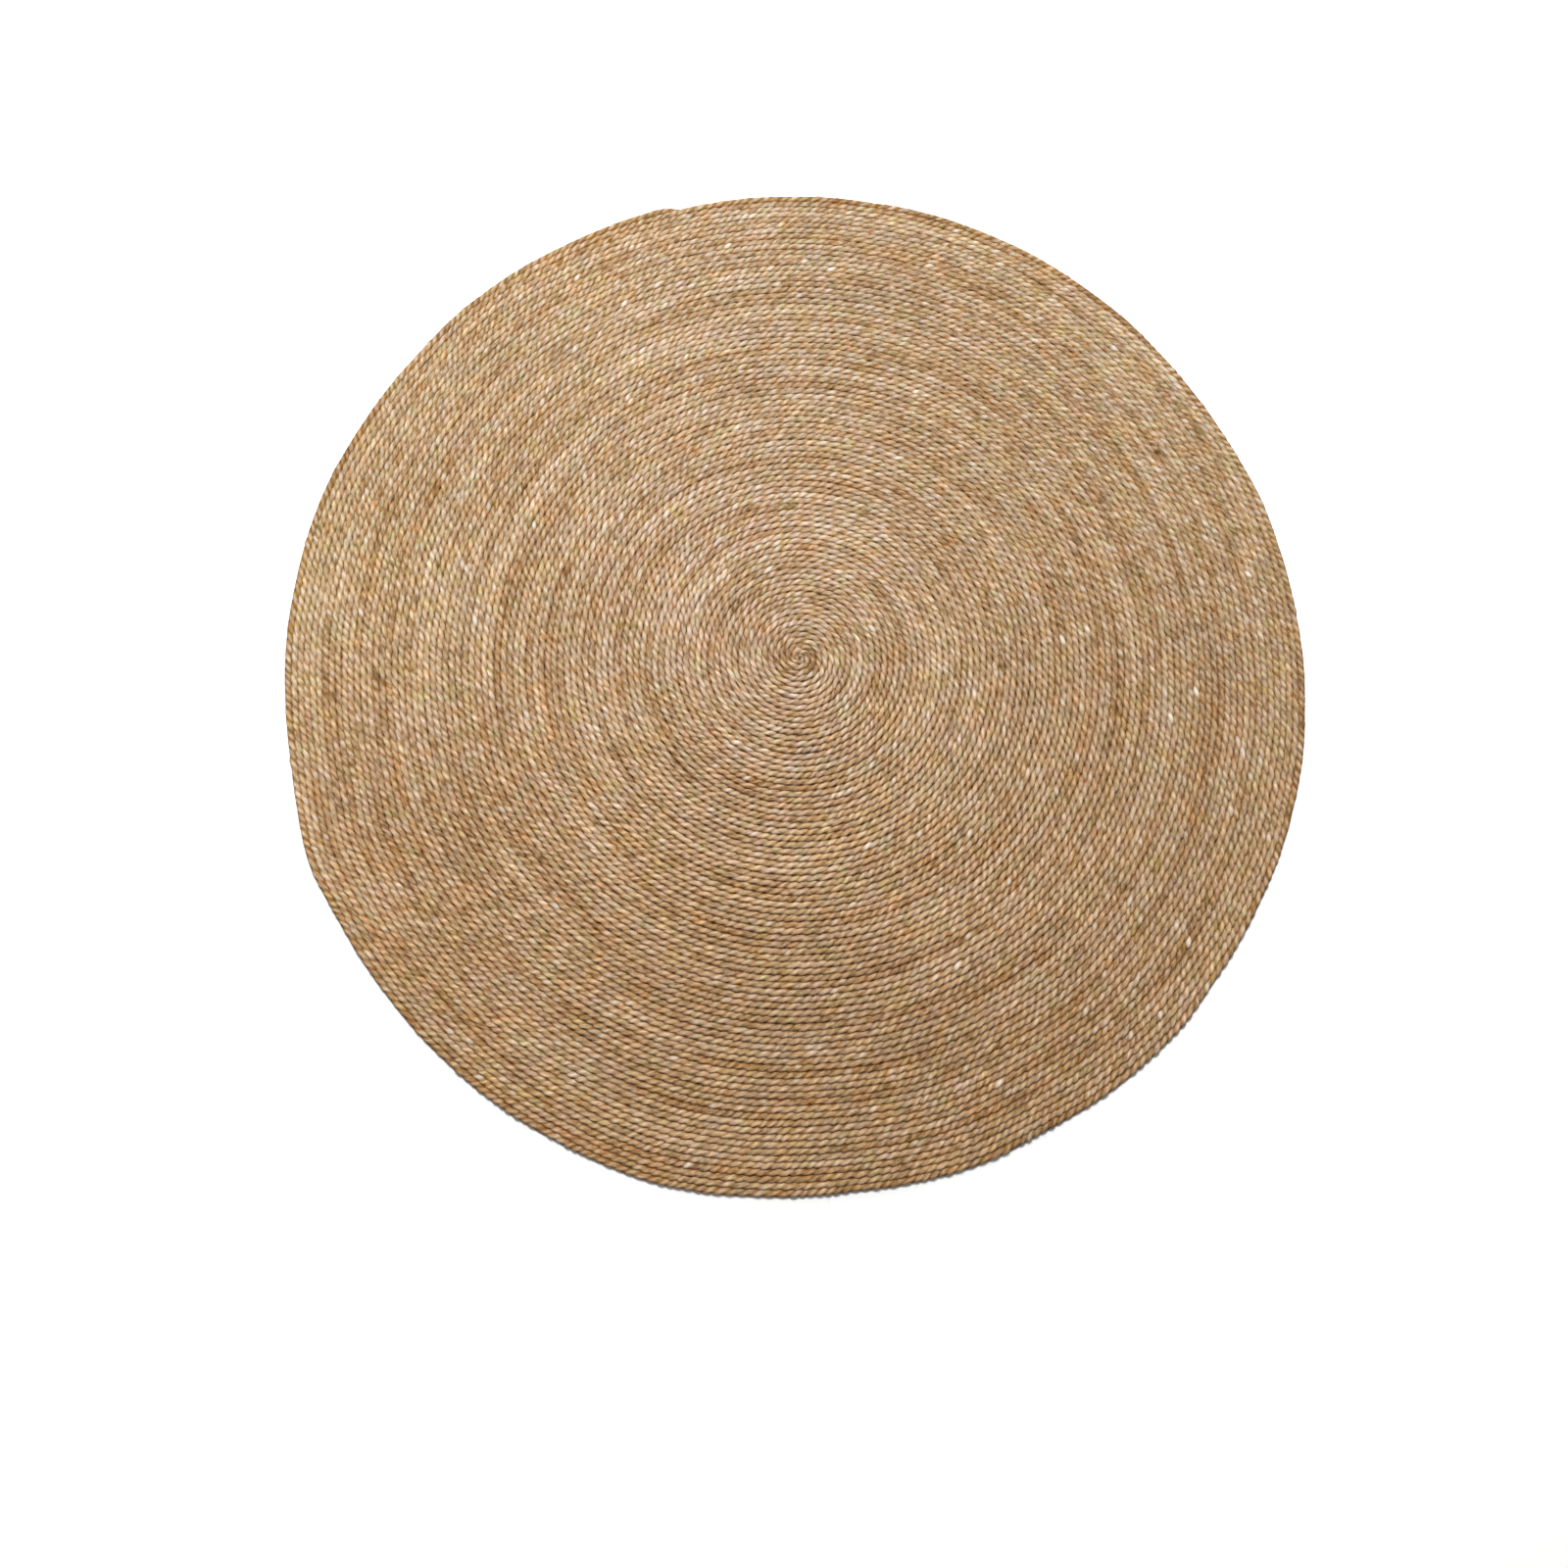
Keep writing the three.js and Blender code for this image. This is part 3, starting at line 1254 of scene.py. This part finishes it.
@dataclass(frozen=True)
class Studio:
    """The floor, the light and the camera round the rug. The aim is given from the coil's middle."""

    course: CoilCourse
    floor_size: float = 14.0
    floor_drop: float = 0.0003
    world_tint: Colour = (1.0, 1.0, 1.0)
    world_strength: float = 0.15
    lamps: tuple[SoftLamp, ...] = (SoftLamp("key_lamp", 98.0, 63.0, 2.6, 0.7, 104.0),)
    aim: Span = (-0.0225, -0.0558)
    camera_distance: float = 1.5568
    camera_elevation: float = 81.156
    lens: float = 24.28
    lens_rise: float = -0.05625
    sensor: float = 36.0
    nearest: float = 0.01
    farthest: float = 60.0

    def build(self) -> None:
        """Set the whole studio up."""
        self._floor()
        for lamp in self.lamps:
            lamp.place()
        self._surroundings()
        self._camera()
        bpy.context.scene.view_settings.view_transform = "Standard"

    def _floor(self) -> None:
        """Lay the floor just under the rug."""
        sheet = bmesh.new()
        bmesh.ops.create_grid(sheet, x_segments=1, y_segments=1, size=self.floor_size / 2)
        bmesh.ops.translate(sheet, verts=sheet.verts, vec=(0.0, 0.0, -self.floor_drop))
        mesh = bpy.data.meshes.new("studio_floor")
        sheet.to_mesh(mesh)
        sheet.free()
        mesh.materials.append(FloorFinish().material())
        floor = add_object("studio_floor", mesh)

    def _surroundings(self) -> None:
        """Fill the shadows with plain pale light from all round."""
        world = bpy.data.worlds.new("studio_air")
        world.use_nodes = True
        air = world.node_tree.nodes["Background"]
        air.inputs["Color"].default_value = (*self.world_tint, 1.0)
        air.inputs["Strength"].default_value = self.world_strength
        bpy.context.scene.world = world

    def _camera(self) -> None:
        """Hang the camera nearly straight above the rug."""
        lens = bpy.data.cameras.new("overhead_camera")
        lens.lens = self.lens
        lens.sensor_width = self.sensor
        lens.shift_y = self.lens_rise
        lens.clip_start = self.nearest
        lens.clip_end = self.farthest
        camera = add_object("overhead_camera", lens)
        centre_x, centre_y = self.course.outline.coil_centre()
        up = math.radians(self.camera_elevation)
        camera.location = (
            centre_x + self.aim[0],
            centre_y + self.aim[1] - self.camera_distance * math.cos(up),
            self.camera_distance * math.sin(up),
        )
        camera.rotation_euler = (math.pi / 2 - up, 0.0, 0.0)
        bpy.context.scene.camera = camera


@dataclass
class SisalRug:
    """The whole rug: the rope in its stretches, with the loose fibres over it."""

    names: tuple[str, ...] = (
        "coil_middle",
        "coil_inner_ring",
        "coil_second_ring",
        "coil_third_ring",
        "coil_outer_ring",
        "coil_rim_ring",
    )
    rope: SisalRope = field(default_factory=SisalRope)

    def build(self) -> None:
        """Wind the rope, make every piece and tell the frame about it."""
        self.rope.wind()
        rings = self.rope.rings
        cuts = np.linspace(0, len(rings["distance"]) - 1, len(self.names) + 1).round().astype(int)
        LOG.info("rope: %.1f m in %d rings", rings["distance"][-1], len(rings["distance"]))
        finish = SisalFinish(float(rings["distance"][-1]))
        fibres = StrayFibres(self.rope).build(FibreFinish())
        self._report(fibres)
        for name, first, last in zip(self.names, cuts[:-1], cuts[1:]):
            stretch = RopeStretch(name, self.rope, int(first), int(last))
            piece = stretch.build(finish)
            self._report(piece)

    def _report(self, piece: bpy.types.Object) -> None:
        """Seat a piece in the frame and log its size.

        Args:
            piece: The piece, which rides on the root and stands in for the mat's node.
        """
        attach(piece, "root")
        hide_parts(MAT_NODE)
        triangles = sum(len(face.vertices) - 2 for face in piece.data.polygons)
        LOG.info("%s: %d triangles", piece.name, triangles)


def main() -> None:
    """Build the rug and its studio."""
    logging.basicConfig(level=logging.INFO, format="%(message)s")
    rug = SisalRug()
    rug.build()
    Studio(rug.rope.course).build()


if __name__ == "__main__":
    main()
